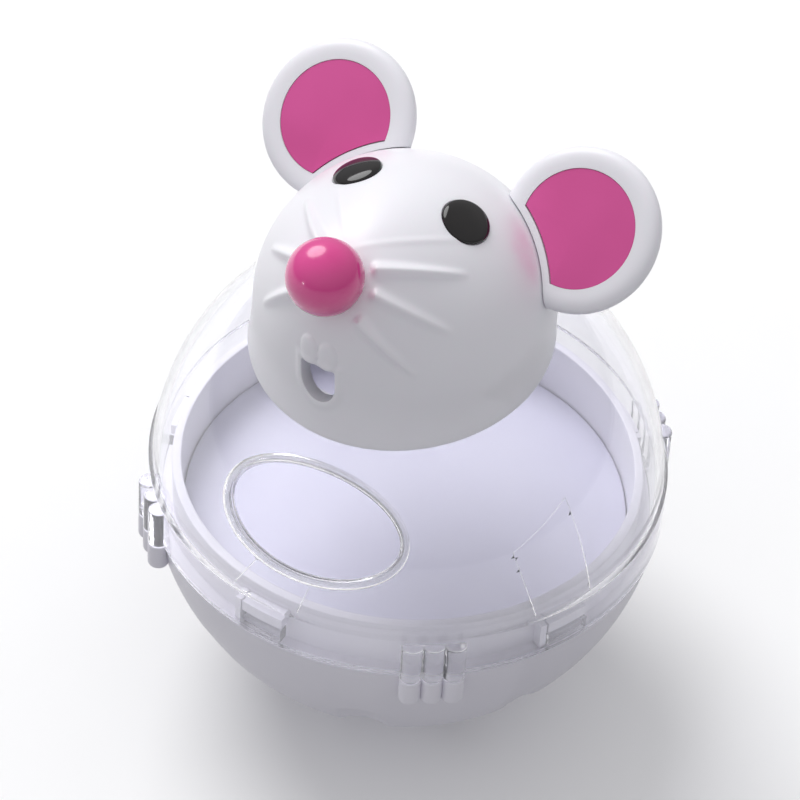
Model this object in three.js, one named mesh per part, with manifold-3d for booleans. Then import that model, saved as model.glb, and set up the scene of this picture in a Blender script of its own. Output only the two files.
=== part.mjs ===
// Mouse-shaped tumbler that drops pet treats: a weighted white bowl, a clear twist-off dome with an
// oval treat hole, and a hollow mouse head with plug-in ears, nose and eyes.
// Units are millimetres. +Z is up, the mouse looks towards -Y, and the origin is the centre of the
// flat spot that the bowl rests on.

import * as THREE from 'three';
import { mergeVertices } from 'three/addons/utils/BufferGeometryUtils.js';
import Module from 'manifold-3d';

const wasm = await Module();
wasm.setup();

// ---- Driving dimensions ----

const GAP = 0.3;                 // clearance between pieces that touch

// Body: one ball, split a little below its equator
const BODY_R = 54.7;             // outer radius of the ball
const FOOT_R = 14;               // flat spot that the ball rests on
const BODY_Z = Math.sqrt(BODY_R ** 2 - FOOT_R ** 2);
const SEAM_DROP = 5.3;           // seam between bowl and dome, below the ball's centre
const SEAM_Z = BODY_Z - SEAM_DROP;

// Bowl
const BOWL_WALL = 2.6;
const BOWL_FLOOR_Z = 2.6;        // inside of the bowl over the flat spot
const COLLAR_TOP = 10;           // above the seam
const COLLAR_R = 50;             // outer radius of the collar inside the dome's rim
const COLLAR_WALL = 2;
const COLLAR_BORE_R = COLLAR_R - COLLAR_WALL;
const LEDGE_R = 46;              // ledge inside the bowl that the floor plate sits on
const LEDGE_THICKNESS = 2;
const LEDGE_FOOT_Z = 36.5;       // where the ledge's slope meets the wall

// Dome
const DOME_WALL = 1.9;
const INNER_ARC_LOW = 3.4;       // above the ball's centre, where the inner ball meets the rim's bore
const RIM_R = 55.1;              // outer radius of the rim band
const RIM_TOP = 10.2;            // above the seam
const RIM_BORE_R = 52.9;
const RIM_BEVEL = 0.4;
const SHOULDER_RISE = 0.6;       // height of the slope from the rim band to the ball

// Oval treat hole in the dome
const HOLE_AZIMUTH = 6.8;        // degrees, from the front towards +X
const HOLE_LATITUDE = 28;        // degrees above the ball's equator
const HOLE_HALF_WIDTH = 19.1;
const HOLE_HALF_HEIGHT = 11.2;
const HOLE_FACETS = 32;

// Bayonet tabs and finger lugs
const TAB_COUNT = 5;
const TAB_START = -1;            // degrees
const TAB_SPAN = 10.5;           // degrees
const DOME_TAB_LOW = 0.4;        // heights above the seam
const DOME_TAB_HIGH = 3.4;
const COLLAR_TAB_LOW = 3.8;
const COLLAR_TAB_HIGH = 6.4;
const STOP_SPAN = 1.6;           // degrees, stop rib beside each collar tab
const STOP_GAP = 0.4;            // degrees, between a tab and its stop rib
const TAB_ROOT = 0.6;            // how deep a tab is sunk into its wall
const TAB_CLEARANCE = 0.4;       // between a tab's crest and the wall across from it
const LUG_ANGLES = [-41.5, 38.5, 138.5, 218.5];
const LUG_TOP = 9.5;             // above the seam
const LUG_BOTTOM = -6.5;
const RIB_R = 2.3;               // half-round ribs on each lug
const RIB_PITCH = 4.4;
const RIB_AXIS_R = 55.2;

// Arched recesses round the lower bowl
const ARCH_COUNT = 8;
const ARCH_START = 22.5;         // degrees
const ARCH_HALF_WIDTH = 6.2;
const ARCH_RADIAL = 3.2;
const ARCH_DEPTH = 1.3;
const ARCH_TOP = -30;            // degrees of latitude, where the straight part starts
const ARCH_BOTTOM = -60;
const ARCH_STEPS = 3;

// Weight, and the floor that covers it
const WEIGHT_R = 23.5;
const WEIGHT_TOP = 12;
const WEIGHT_SEAT_GAP = 0.4;
const WEIGHT_CHAMFER = 1;
const FLOOR_EDGE_Z = 44.5;       // top of the floor plate at its edge
const FLOOR_THICKNESS = 2;
const FLOOR_UNDERSIDE = FLOOR_EDGE_Z - FLOOR_THICKNESS;
const FLOOR_CROWN = 2;           // rise of the floor's middle over its edge
const FLOOR_BEVEL = 0.6;
const COLUMN_LOW = 12.6;         // foot of the floor plate's screw columns
const COLUMN_HOLE_TOP = 20;
const BASE_SCREW_R = 28.5;       // radius of the screw circle
const BASE_SCREW_COUNT = 3;
const BASE_BOSS_LOW = 8.4;
const BASE_BOSS_TOP = 12.2;
const BASE_SEAT_Z = 10;          // where the screw heads bear
const BASE_SCREW_TIP = 19;

// Screws
const SCREW_SHANK_R = 1.15;
const SCREW_HOLE_R = 1.5;
const SCREW_HEAD_R = 2.6;
const SCREW_HEAD_H = 1.8;
const SCREW_HEAD_TAPER = [0.5, 0.6];  // inwards and upwards, at the rim of the head
const SCREW_POINT = 1.4;
const SCREW_SLOT = [3, 0.7, 0.9];     // length, width and depth of each arm of the cross
const WELL_R = 3.1;
const BOSS_R = 3.9;

// Head: a ball with a soft snout, tipped back so that the face looks up and forward
const HEAD_R = 31;
const HEAD_Y = -5.8;
const HEAD_RISE = 52.2;          // head centre above the body ball's centre
const HEAD_TILT = 42.8;          // degrees, snout above the horizontal
const HEAD_WALL = 2.4;
const SNOUT_LENGTH = 7;          // how far the snout stands out of the ball
const SNOUT_SPREAD = 27;         // degrees, half-width of the snout's rise
const INNER_SNOUT = 2.8;         // the same rise on the inside of the shell
const SKIRT_FLARE = 1.5;         // 1 would make the wall below the ball's middle upright
const SKIRT_DEPTH = 0.64;        // sine of the angle below the horizontal where it stops growing

// Neck: crown of the dome under the head
const NECK_TILT = Math.atan2(-HEAD_Y, HEAD_RISE);
const NECK_PLATE_R = 27.4;
const NECK_PLATE_THICKNESS = 2.2;
const NECK_SCREW_R = 17;
const NECK_SCREW_COUNT = 3;
const NECK_SEAT = 47.6;          // from the body ball's centre, along the neck
const NECK_BOSS_TOP = 62;
const DOME_BOSS_HEIGHT = 2.5;
const NECK_HOLE_SKIN = 1.2;      // plastic left over the blind screw holes
const NECK_SCREW_BACKOFF = 1.8;  // from the top of the boss down to the screw's tip

// Face, given as [sideways, forward, up] from the head's centre in the tipped frame
const NOSE_FORWARD = 42.4;
const NOSE_R = 7.8;
const NOSE_STEM_R = 3;
const NOSE_STEM_LENGTH = 13;
const EYE_PLACE = [12.9, 19.4, 20.4];
const EYE_R = 5.1;
const EYE_HALF_THICKNESS = 1.3;
const MOUTH_PLACE = [0, 24.4, -20.2];
const MOUTH_HALF_WIDTH = 4;
const MOUTH_TOP = 4.6;           // from the middle of the mouth, up and down its face
const MOUTH_BOTTOM = 5.4;
const MOUTH_DEPTH = 14;
const TOOTH_PLACE = [2.1, 29.6, -14.6];
const TOOTH_HALF = [2.2, 3.6, 1.7];
const WHISKERS = [
  { start: [5.4, 36.2, 4.6], end: [19.3, 22, 11.3] },
  { start: [7.3, 36.1, 0.7], end: [21.8, 22.7, -0.5] },
  { start: [6.4, 35.7, -4.9], end: [18.5, 22.9, -11.3] },
];
const WHISKER_R = 0.9;
const WHISKER_STEPS = 6;
const RELIEF_SINK = 0.2;         // whiskers and teeth start this far under the surface

// Ears
const EAR_PLACE = [29, 1.7, 27.9];
const EAR_R = 16.9;
const EAR_THICKNESS = 4.6;
const EAR_EDGE = 1.5;            // rounding of the ear's rim
const EAR_RECESS = 1.2;
const EAR_EDGE_CORNER = 0.3;     // share of the edge that the middle of its rounding stands in
const EAR_PAD_MARGIN = 2;        // white rim left between the pad and the head
const EAR_PAD_R = 11.9;
const EAR_PAD_THICKNESS = 0.8;
const EAR_PEG_R = 1.6;
const EAR_PEG_SETBACK = 0.6;     // the peg runs behind the ear's middle plane, under the dish
const EAR_PEG_END = 25.5;        // distance of the peg's tip from the head's centre
const EAR_PEG_ROOT = 6;          // distance of the peg's other end from the ear's centre

// Facets
const ROUND = 36;                // round the large pieces
const EAR_ROUND = 28;
const HEAD_STEPS = 18;
const HEAD_ROUND = 28;
const HOLLOW_STEPS = 10;         // inside of the head
const HOLLOW_ROUND = 20;
const EYE_ROUND = 16;
const NOSE_ROUND = [16, 10];
const SMALL_ROUND = 10;
const RIB_ROUND = 8;

// ---- Materials ----

const plastic = (color, roughness) => new THREE.MeshStandardMaterial({ color, roughness, metalness: 0 });
const whitePlastic = plastic(0xf1eff6, 0.35);
const bowlPlastic = plastic(0xe6e4ee, 0.4);
const clearPlastic = new THREE.MeshStandardMaterial({
  color: 0xe8e8f6, roughness: 0.05, metalness: 0, transparent: true, opacity: 0.3,
});
const pinkGloss = plastic(0xd9478f, 0.2);
const pinkPad = plastic(0xd4558f, 0.45);
const blackGloss = plastic(0x17130f, 0.1);
const iron = new THREE.MeshStandardMaterial({ color: 0x54565a, roughness: 0.6, metalness: 0.9 });
const steel = new THREE.MeshStandardMaterial({ color: 0xb4b7bb, roughness: 0.35, metalness: 1 });

// ---- Solids ----

const radians = THREE.MathUtils.degToRad;
const point = (x, y) => new THREE.Vector2(x, y);

function solid(geometry) {
  const bare = geometry.index ? geometry.toNonIndexed() : geometry.clone();
  bare.deleteAttribute('normal');
  bare.deleteAttribute('uv');
  const merged = mergeVertices(bare, 1e-4);
  return new wasm.Manifold(new wasm.Mesh({
    numProp: 3,
    vertProperties: new Float32Array(merged.attributes.position.array),
    triVerts: new Uint32Array(merged.index.array),
  }));
}

function geometryOf(manifold) {
  const { vertProperties, triVerts } = manifold.getMesh();
  const geometry = new THREE.BufferGeometry();
  geometry.setAttribute('position', new THREE.BufferAttribute(vertProperties, 3));
  geometry.setIndex(new THREE.BufferAttribute(triVerts, 1));
  return geometry;
}

function meshOf(name, manifold, material) {
  const mesh = new THREE.Mesh(geometryOf(manifold), material);
  mesh.name = name;
  return mesh;
}

const joinAll = (first, others) => others.reduce((sum, next) => sum.add(next), first);
const cutAll = (first, cutters) => cutters.reduce((rest, next) => rest.subtract(next), first);

// A lathe round +Z: profile points are (radius, height).
function turned(profile, facets = ROUND) {
  const geometry = new THREE.LatheGeometry(profile, facets);
  geometry.rotateX(Math.PI / 2);
  return geometry;
}

// A profile that starts and ends on the axis, listed from the bottom up along the outside.
const turnedSolid = (profile, facets = ROUND) => solid(turned(profile, facets));

// Points of a circular arc centred on the axis at height z, from one latitude to another.
function arc(radius, z, from, to, steps) {
  return Array.from({ length: steps + 1 }, (_, i) => {
    const latitude = radians(from + (to - from) * i / steps);
    return point(radius * Math.cos(latitude), z + radius * Math.sin(latitude));
  });
}

const latitudeAt = (radius, height) => THREE.MathUtils.radToDeg(Math.asin(height / radius));

// A rod along +Z from z = low to z = high.
function rod(radius, low, high, facets = SMALL_ROUND) {
  const geometry = new THREE.CylinderGeometry(radius, radius, high - low, facets);
  geometry.rotateX(Math.PI / 2);
  geometry.translate(0, 0, (low + high) / 2);
  return geometry;
}

// Where an angle round the body points: 0 is the front (-Y), +90 is +X.
const outward = (degrees) => new THREE.Vector3(Math.sin(radians(degrees)), -Math.cos(radians(degrees)), 0);

// Turns a geometry drawn at the front (-Y) to another angle round the body.
const turnTo = (geometry, degrees) => geometry.rotateZ(radians(degrees));

const everyStep = (count, start = 0) => Array.from({ length: count }, (_, i) => start + i * 360 / count);

// A block that follows the ring: a sector between two radii and two heights, centred on an angle.
function sector(inner, outer, low, high, centre, span) {
  const half = radians(span / 2);
  const shape = new THREE.Shape();
  shape.absarc(0, 0, outer, -half, half, false);
  shape.absarc(0, 0, inner, half, -half, true);
  const options = { depth: high - low, bevelEnabled: false, curveSegments: 3 };
  const geometry = new THREE.ExtrudeGeometry(shape, options);
  geometry.translate(0, 0, low);
  return solid(geometry.rotateZ(radians(centre - 90)));
}

// Three half-round ribs side by side: half a finger lug.
function lugRibs(degrees, low, high, roundBottom) {
  const ribs = [];
  for (const side of [-1, 0, 1]) {
    const rib = rod(RIB_R, low, high, RIB_ROUND);
    rib.translate(side * RIB_PITCH, -RIB_AXIS_R, 0);
    ribs.push(solid(turnTo(rib, degrees)));
    if (roundBottom) {
      const end = new THREE.SphereGeometry(RIB_R, RIB_ROUND, RIB_ROUND / 2);
      end.rotateX(Math.PI / 2);
      end.translate(side * RIB_PITCH, -RIB_AXIS_R, low);
      ribs.push(solid(turnTo(end, degrees)));
    }
  }
  return joinAll(ribs[0], ribs.slice(1));
}

function screw(name, seatZ, tipZ) {
  const [taperIn, taperUp] = SCREW_HEAD_TAPER;
  const [slotLength, slotWidth, slotDepth] = SCREW_SLOT;
  const profile = [
    point(0, seatZ - SCREW_HEAD_H),
    point(SCREW_HEAD_R - taperIn, seatZ - SCREW_HEAD_H),
    point(SCREW_HEAD_R, seatZ - SCREW_HEAD_H + taperUp),
    point(SCREW_HEAD_R, seatZ),
    point(SCREW_SHANK_R, seatZ),
    point(SCREW_SHANK_R, tipZ - SCREW_POINT),
    point(0, tipZ),
  ];
  const slots = [0, Math.PI / 2].map((turn) => {
    const slot = new THREE.BoxGeometry(slotLength, slotWidth, slotDepth * 2);
    slot.rotateZ(turn);
    slot.translate(0, 0, seatZ - SCREW_HEAD_H);
    return solid(slot);
  });
  return meshOf(name, cutAll(turnedSolid(profile, SMALL_ROUND), slots), steel);
}

// ---- Body ----

const baseScrewAngles = everyStep(BASE_SCREW_COUNT, 60);
const tabAngles = everyStep(TAB_COUNT, TAB_START);

const onScrewCircle = (geometry, radius, degrees) => {
  const place = outward(degrees).multiplyScalar(radius);
  return geometry.translate(place.x, place.y, 0);
};

// A recess cutter: a flattened tube bent along the ball's meridian, with a rounded end at the top
// and at the bottom.
function archCutter(degrees) {
  const pathR = BODY_R + ARCH_RADIAL - ARCH_DEPTH;
  const along = (latitude) => new THREE.Vector3(
    0, -pathR * Math.cos(radians(latitude)), BODY_Z + pathR * Math.sin(radians(latitude)),
  );
  const path = new THREE.CatmullRomCurve3(
    Array.from(
      { length: ARCH_STEPS + 1 },
      (_, i) => along(ARCH_TOP + (ARCH_BOTTOM - ARCH_TOP) * i / ARCH_STEPS),
    ),
  );
  const section = new THREE.Shape();
  section.absellipse(0, 0, ARCH_HALF_WIDTH, ARCH_RADIAL, 0, Math.PI * 2);
  const tube = new THREE.ExtrudeGeometry(section, { steps: ARCH_STEPS, curveSegments: 3, extrudePath: path });
  const pieces = [solid(turnTo(tube, degrees))];
  for (const latitude of [ARCH_TOP, ARCH_BOTTOM]) {
    const end = new THREE.SphereGeometry(1, RIB_ROUND, RIB_ROUND / 2);
    end.scale(ARCH_HALF_WIDTH, ARCH_RADIAL, ARCH_HALF_WIDTH);
    end.rotateX(radians(-latitude));
    const place = along(latitude);
    end.translate(place.x, place.y, place.z);
    pieces.push(solid(turnTo(end, degrees)));
  }
  return joinAll(pieces[0], pieces.slice(1));
}

const atBaseScrews = (radius, low, high) => baseScrewAngles.map(
  (angle) => solid(onScrewCircle(rod(radius, low, high), BASE_SCREW_R, angle)),
);

function baseBowl() {
  const innerR = BODY_R - BOWL_WALL;
  const ledgeZ = FLOOR_UNDERSIDE - GAP;
  const floorLatitude = latitudeAt(innerR, BOWL_FLOOR_Z - BODY_Z);
  const profile = [
    point(0, 0),
    ...arc(BODY_R, BODY_Z, latitudeAt(BODY_R, -BODY_Z), latitudeAt(BODY_R, -SEAM_DROP), 9),
    point(COLLAR_R, SEAM_Z),
    point(COLLAR_R, SEAM_Z + COLLAR_TOP),
    point(COLLAR_BORE_R, SEAM_Z + COLLAR_TOP),
    point(COLLAR_BORE_R, ledgeZ),
    point(LEDGE_R, ledgeZ),
    point(LEDGE_R, ledgeZ - LEDGE_THICKNESS),
    ...arc(innerR, BODY_Z, latitudeAt(innerR, LEDGE_FOOT_Z - BODY_Z), floorLatitude, 6),
    point(0, BOWL_FLOOR_Z),
  ];
  const tabInner = COLLAR_R - TAB_ROOT;
  const tabOuter = RIM_BORE_R - TAB_CLEARANCE;
  const tabTop = SEAM_Z + COLLAR_TAB_HIGH;
  const stopTurn = (TAB_SPAN + STOP_SPAN) / 2 + STOP_GAP;
  const additions = [
    ...tabAngles.flatMap((angle) => [
      sector(tabInner, tabOuter, SEAM_Z + COLLAR_TAB_LOW, tabTop, angle, TAB_SPAN),
      sector(tabInner, tabOuter, SEAM_Z + DOME_TAB_LOW, tabTop, angle - stopTurn, STOP_SPAN),
    ]),
    ...LUG_ANGLES.map((angle) => lugRibs(angle, SEAM_Z + LUG_BOTTOM + RIB_R, SEAM_Z, true)),
    ...atBaseScrews(BOSS_R, BASE_BOSS_LOW, BASE_BOSS_TOP),
  ];
  const cutters = [
    ...everyStep(ARCH_COUNT, ARCH_START).map(archCutter),
    ...atBaseScrews(WELL_R, -1, BASE_SEAT_Z),
    ...atBaseScrews(SCREW_HOLE_R, BASE_SEAT_Z - 1, BASE_BOSS_TOP + 1),
  ];
  return meshOf('base_bowl', cutAll(joinAll(turnedSolid(profile), additions), cutters), bowlPlastic);
}

function counterweight() {
  const seatR = BODY_R - BOWL_WALL - WEIGHT_SEAT_GAP;
  const bottomZ = BOWL_FLOOR_Z + WEIGHT_SEAT_GAP;
  const edgeLatitude = -THREE.MathUtils.radToDeg(Math.acos(WEIGHT_R / seatR));
  const profile = [
    point(0, bottomZ),
    ...arc(seatR, BODY_Z, latitudeAt(seatR, bottomZ - BODY_Z), edgeLatitude, 4),
    point(WEIGHT_R, WEIGHT_TOP - WEIGHT_CHAMFER),
    point(WEIGHT_R - WEIGHT_CHAMFER, WEIGHT_TOP),
    point(0, WEIGHT_TOP),
  ];
  return meshOf('counterweight', turnedSolid(profile), iron);
}

function floorPlate() {
  const edgeR = COLLAR_BORE_R - GAP;
  const crown = [0.66, 0.33, 0].map(
    (share) => point(edgeR * share, FLOOR_EDGE_Z + FLOOR_CROWN * (1 - share ** 2)),
  );
  const profile = [
    point(0, FLOOR_UNDERSIDE),
    point(edgeR, FLOOR_UNDERSIDE),
    point(edgeR, FLOOR_EDGE_Z - FLOOR_BEVEL),
    point(edgeR - FLOOR_BEVEL, FLOOR_EDGE_Z),
    ...crown,
  ];
  const columns = atBaseScrews(BOSS_R, COLUMN_LOW, FLOOR_UNDERSIDE + FLOOR_THICKNESS / 2);
  const holes = atBaseScrews(SCREW_HOLE_R, COLUMN_LOW - 1, COLUMN_HOLE_TOP);
  return meshOf('floor_plate', cutAll(joinAll(turnedSolid(profile), columns), holes), whitePlastic);
}

function ovalHoleCutter() {
  const cutter = rod(1, BODY_R / 2, BODY_R * 1.5, HOLE_FACETS);
  cutter.scale(HOLE_HALF_WIDTH, HOLE_HALF_HEIGHT, 1);
  cutter.rotateX(radians(90 - HOLE_LATITUDE));
  turnTo(cutter, HOLE_AZIMUTH);
  cutter.translate(0, 0, BODY_Z);
  return solid(cutter);
}

// A rod beside the neck's axis, drawn from the body ball's centre.
function alongNeck(radius, low, high, degrees) {
  const geometry = onScrewCircle(rod(radius, low, high), NECK_SCREW_R, degrees);
  return solid(geometry.rotateX(NECK_TILT).translate(0, 0, BODY_Z));
}

const neckScrewAngles = everyStep(NECK_SCREW_COUNT, 60);

function clearDome() {
  const innerR = BODY_R - DOME_WALL;
  const rimLow = SEAM_Z + GAP;
  const shoulder = latitudeAt(BODY_R, RIM_TOP - SEAM_DROP + SHOULDER_RISE);
  const profile = [
    point(RIM_BORE_R, rimLow),
    point(RIM_R, rimLow),
    point(RIM_R, SEAM_Z + RIM_TOP - RIM_BEVEL),
    ...arc(BODY_R, BODY_Z, shoulder, 90, 11),
    ...arc(innerR, BODY_Z, 90, latitudeAt(innerR, INNER_ARC_LOW), 9),
    point(RIM_BORE_R, rimLow),
  ];
  const tabInner = COLLAR_R + TAB_CLEARANCE;
  const tabOuter = RIM_BORE_R + TAB_ROOT;
  const additions = [
    ...tabAngles.map((angle) => sector(
      tabInner, tabOuter, SEAM_Z + DOME_TAB_LOW, SEAM_Z + DOME_TAB_HIGH, angle, TAB_SPAN,
    )),
    ...LUG_ANGLES.map((angle) => lugRibs(angle, rimLow, SEAM_Z + LUG_TOP, false)),
    ...neckScrewAngles.map((angle) => alongNeck(BOSS_R, NECK_SEAT, NECK_SEAT + DOME_BOSS_HEIGHT, angle)),
  ];
  const cutters = [
    ovalHoleCutter(),
    ...neckScrewAngles.map((angle) => alongNeck(SCREW_HOLE_R, NECK_SEAT - 1, NECK_BOSS_TOP, angle)),
  ];
  return meshOf('clear_dome', cutAll(joinAll(turnedSolid(profile), additions), cutters), clearPlastic);
}

// ---- Neck: drawn from the body ball's centre, with +Z along the neck ----

function neckPlate() {
  const low = BODY_R + GAP;
  const high = low + NECK_PLATE_THICKNESS;
  const rimAngle = THREE.MathUtils.radToDeg(Math.acos(NECK_PLATE_R / high));
  const profile = [point(0, NECK_SEAT), point(NECK_PLATE_R, NECK_SEAT), ...arc(high, 0, rimAngle, 90, 4)];
  const ball = turnedSolid(arc(low, 0, -90, 90, 20));
  const bosses = neckScrewAngles.map(
    (angle) => solid(onScrewCircle(rod(BOSS_R, NECK_SEAT, NECK_BOSS_TOP), NECK_SCREW_R, angle)),
  );
  const holeTop = NECK_BOSS_TOP - NECK_HOLE_SKIN;
  const holes = neckScrewAngles.map(
    (angle) => solid(onScrewCircle(rod(SCREW_HOLE_R, NECK_SEAT, holeTop), NECK_SCREW_R, angle)),
  );
  const plate = joinAll(turnedSolid(profile), bosses);
  return meshOf('neck_plate', cutAll(plate, [ball, ...holes]), clearPlastic);
}

// ---- Head: drawn about its centre with the snout along -Y ----

const face = ([x, forward, up]) => new THREE.Vector3(x, -forward, up);
const snoutWards = (geometry) => geometry.rotateX(Math.PI / 2);
const mirrored = (place, side) => [place[0] * side, place[1], place[2]];

// Distance from the head's centre to its surface, at an angle off the snout's axis.
const headReach = (degrees, snout = SNOUT_LENGTH) => (
  HEAD_R + snout * Math.exp(-((degrees / SNOUT_SPREAD) ** 2))
);

function onHead(direction, proud = 0) {
  const unit = face(direction).normalize();
  const offAxis = THREE.MathUtils.radToDeg(Math.acos(-unit.y));
  return unit.multiplyScalar(headReach(offAxis) + proud);
}

// Below its middle the head doesn't close in like a ball, but runs down to the dome as a skirt.
function withSkirt(geometry) {
  const up = new THREE.Vector3(0, -Math.sin(radians(HEAD_TILT)), Math.cos(radians(HEAD_TILT)));
  const places = geometry.attributes.position;
  for (let i = 0; i < places.count; i += 1) {
    const place = new THREE.Vector3().fromBufferAttribute(places, i);
    const drop = THREE.MathUtils.clamp(-place.dot(up) / place.length(), 0, SKIRT_DEPTH);
    const rise = SKIRT_FLARE * HEAD_R * (1 / Math.sqrt(1 - drop ** 2) - 1);
    place.setLength(place.length() + rise);
    places.setXYZ(i, place.x, place.y, place.z);
  }
  return geometry;
}

function headForm(inset, snout, steps, facets) {
  const profile = Array.from({ length: steps + 1 }, (_, i) => {
    const degrees = 180 - 180 * i / steps;
    const reach = headReach(degrees, snout) - inset;
    const onAxis = i === 0 || i === steps;
    return point(onAxis ? 0 : reach * Math.sin(radians(degrees)), reach * Math.cos(radians(degrees)));
  });
  return solid(withSkirt(snoutWards(turned(profile, facets))));
}

// The body ball, grown by a margin, as seen from the head.
function bodyBall(margin) {
  const ball = new THREE.SphereGeometry(BODY_R + margin, ROUND, ROUND / 2);
  ball.rotateX(Math.PI / 2 + NECK_TILT);
  ball.translate(0, -HEAD_Y, -HEAD_RISE);
  return solid(ball.rotateX(radians(HEAD_TILT)));
}

// Moves a geometry drawn with +Z outwards to a place on the face, with +Y towards the crown.
function facing(geometry, place) {
  const out = place.clone().normalize();
  const side = new THREE.Vector3(0, 0, 1).cross(out).normalize();
  const up = out.clone().cross(side);
  geometry.applyMatrix4(new THREE.Matrix4().makeBasis(side, up, out));
  return geometry.translate(place.x, place.y, place.z);
}

function ellipsoid(halves, place, facets = SMALL_ROUND) {
  const ball = new THREE.SphereGeometry(1, facets, facets / 2);
  ball.rotateX(Math.PI / 2);
  ball.scale(...halves);
  return solid(facing(ball, place));
}

const eyeForm = (side, margin) => ellipsoid(
  [EYE_R + margin, EYE_R + margin, EYE_HALF_THICKNESS + margin], face(mirrored(EYE_PLACE, side)), EYE_ROUND,
);

const nosePlace = face([0, NOSE_FORWARD, 0]);

function noseForm(margin) {
  const ball = new THREE.SphereGeometry(NOSE_R + margin, ...NOSE_ROUND);
  const stem = rod(NOSE_STEM_R + margin, -NOSE_STEM_LENGTH - margin, 0);
  const place = (geometry) => solid(snoutWards(geometry).translate(nosePlace.x, nosePlace.y, nosePlace.z));
  return place(ball.rotateX(Math.PI / 2)).add(place(stem));
}

function mouthCutter() {
  const shape = new THREE.Shape();
  shape.moveTo(-MOUTH_HALF_WIDTH, MOUTH_TOP);
  shape.lineTo(-MOUTH_HALF_WIDTH, 0);
  shape.absellipse(0, 0, MOUTH_HALF_WIDTH, MOUTH_BOTTOM, Math.PI, Math.PI * 2, false);
  shape.lineTo(MOUTH_HALF_WIDTH, MOUTH_TOP);
  const options = { depth: MOUTH_DEPTH, bevelEnabled: false, curveSegments: 6 };
  const geometry = new THREE.ExtrudeGeometry(shape, options);
  geometry.translate(0, 0, -MOUTH_DEPTH / 2);
  return solid(facing(geometry, face(MOUTH_PLACE)));
}

function whisker({ start, end }, side) {
  const places = Array.from({ length: WHISKER_STEPS + 1 }, (_, i) => {
    const direction = start.map((value, axis) => value + (end[axis] - value) * i / WHISKER_STEPS);
    return onHead(mirrored(direction, side), -RELIEF_SINK);
  });
  const section = new THREE.Shape();
  section.absarc(0, 0, WHISKER_R, 0, Math.PI * 2);
  const path = new THREE.CatmullRomCurve3(places);
  const options = { steps: WHISKER_STEPS, curveSegments: 4, extrudePath: path };
  return solid(new THREE.ExtrudeGeometry(section, options));
}

function headShell() {
  const raised = [1, -1].flatMap((side) => [
    ...WHISKERS.map((ridge) => whisker(ridge, side)),
    ellipsoid(TOOTH_HALF, onHead(mirrored(TOOTH_PLACE, side), -RELIEF_SINK)),
  ]);
  const cutters = [
    headForm(HEAD_WALL, INNER_SNOUT, HOLLOW_STEPS, HOLLOW_ROUND),
    bodyBall(GAP),
    mouthCutter(),
    noseForm(GAP),
    ...[1, -1].flatMap((side) => [eyeForm(side, GAP), earPeg(side, GAP)]),
  ];
  const outside = joinAll(headForm(0, SNOUT_LENGTH, HEAD_STEPS, HEAD_ROUND), raised);
  return meshOf('head_shell', cutAll(outside, cutters), whitePlastic);
}

// ---- Ears: a dished disc that faces forwards, with a peg through the head's wall ----

function earPeg(side, margin) {
  const place = face(mirrored(EAR_PLACE, side));
  const geometry = rod(EAR_PEG_R + margin, EAR_PEG_END - margin, place.length() - EAR_PEG_ROOT);
  const out = place.clone().normalize();
  const turn = new THREE.Quaternion().setFromUnitVectors(new THREE.Vector3(0, 0, 1), out);
  return solid(geometry.applyQuaternion(turn).translate(0, EAR_PEG_SETBACK, 0));
}

function discAtEar(profile, side) {
  const place = face(mirrored(EAR_PLACE, side));
  return solid(snoutWards(turned(profile, EAR_ROUND)).translate(place.x, place.y, place.z));
}

// The head's ball without its snout, grown by a margin.
const headBall = (margin) => headForm(-margin, 0, HEAD_STEPS, HEAD_ROUND);

// A plain disc at the ear that stops short of the head.
function padForm(radius, low, high, side, margin) {
  const profile = [point(0, low), point(radius, low), point(radius, high), point(0, high)];
  return discAtEar(profile, side).subtract(headBall(margin));
}

function ear(name, side) {
  const half = EAR_THICKNESS / 2;
  const corner = EAR_EDGE * EAR_EDGE_CORNER;
  const profile = [
    point(0, -half),
    point(EAR_R - EAR_EDGE, -half),
    point(EAR_R - corner, -half + corner),
    point(EAR_R, -half + EAR_EDGE),
    point(EAR_R, half - EAR_EDGE),
    point(EAR_R - corner, half - corner),
    point(EAR_R - EAR_EDGE, half),
    point(0, half),
  ];
  const dish = padForm(EAR_PAD_R + GAP, half - EAR_RECESS, half + 1, side, EAR_PAD_MARGIN - GAP);
  const disc = discAtEar(profile, side).subtract(headBall(GAP)).subtract(dish);
  return meshOf(name, disc.add(earPeg(side, 0)), whitePlastic);
}

function earPad(name, side) {
  const low = EAR_THICKNESS / 2 - EAR_RECESS + GAP;
  return meshOf(name, padForm(EAR_PAD_R, low, low + EAR_PAD_THICKNESS, side, EAR_PAD_MARGIN), pinkPad);
}

// ---- Assembly ----

const base = new THREE.Group();
base.add(baseBowl(), counterweight(), floorPlate());
baseScrewAngles.forEach((angle, i) => {
  const fastener = screw(`base_screw_${i + 1}`, BASE_SEAT_Z - GAP, BASE_SCREW_TIP);
  fastener.position.copy(outward(angle).multiplyScalar(BASE_SCREW_R));
  base.add(fastener);
});

const neck = new THREE.Group();
neck.position.z = BODY_Z;
neck.rotation.x = NECK_TILT;
neck.add(neckPlate());
neckScrewAngles.forEach((angle, i) => {
  const fastener = screw(`neck_screw_${i + 1}`, NECK_SEAT - GAP, NECK_BOSS_TOP - NECK_SCREW_BACKOFF);
  fastener.position.copy(outward(angle).multiplyScalar(NECK_SCREW_R));
  neck.add(fastener);
});

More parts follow.
